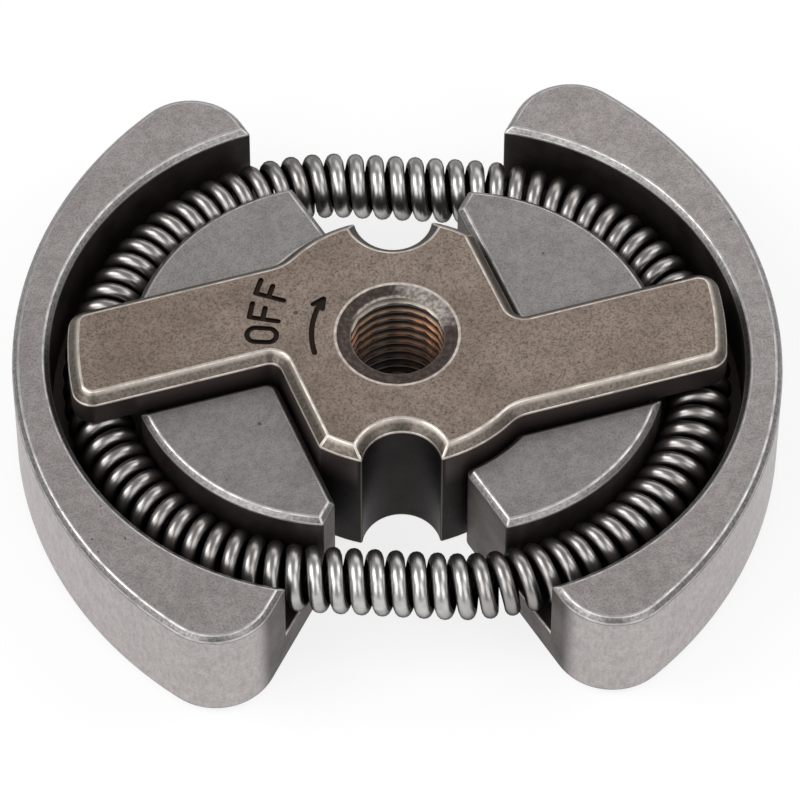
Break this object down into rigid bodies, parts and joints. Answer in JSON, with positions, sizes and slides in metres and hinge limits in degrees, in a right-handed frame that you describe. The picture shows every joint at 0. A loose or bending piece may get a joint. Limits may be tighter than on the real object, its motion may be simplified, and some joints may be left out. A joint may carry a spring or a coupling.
{
  "type": "chainsaw clutch",
  "caption": "Centrifugal chainsaw clutch: a threaded hub with offset arms carries sliding friction shoes, held in by a garter spring round their inner lobes.",
  "frame": {"origin": "on the crank axis at the seat face of the hub, the face that turns to the engine", "axes": "+Z along the crank axis, away from the engine; +X the way the right-hand shoe slides out"},
  "size_m": [0.0722, 0.0694, 0.0151],
  "materials": {
    "hub_sintered": "satin, warm grey sintered steel",
    "shoe_sintered": "satin grey sintered steel",
    "spring_steel": "dark polished spring wire"
  },
  "bodies": {
    "hub": {"hub": "hub_sintered", "garter_spring": "spring_steel"},
    "shoe_left": {"shoe_left": "shoe_sintered"},
    "shoe_right": {"shoe_right": "shoe_sintered"}
  },
  "joints": [
    {"name": "shoe_left_slide", "type": "slide", "parent": "hub", "child": "shoe_left", "axis": [-1, 0, 0], "range_m": [0, 0.0025], "stiffness_N_per_m": 23000, "springref_m": -0.0005, "deforming": ["garter_spring"]},
    {"name": "shoe_right_slide", "type": "slide", "parent": "hub", "child": "shoe_right", "axis": [1, 0, 0], "range_m": [0, 0.0025], "stiffness_N_per_m": 23000, "springref_m": -0.0005, "deforming": ["garter_spring"]}
  ]
}
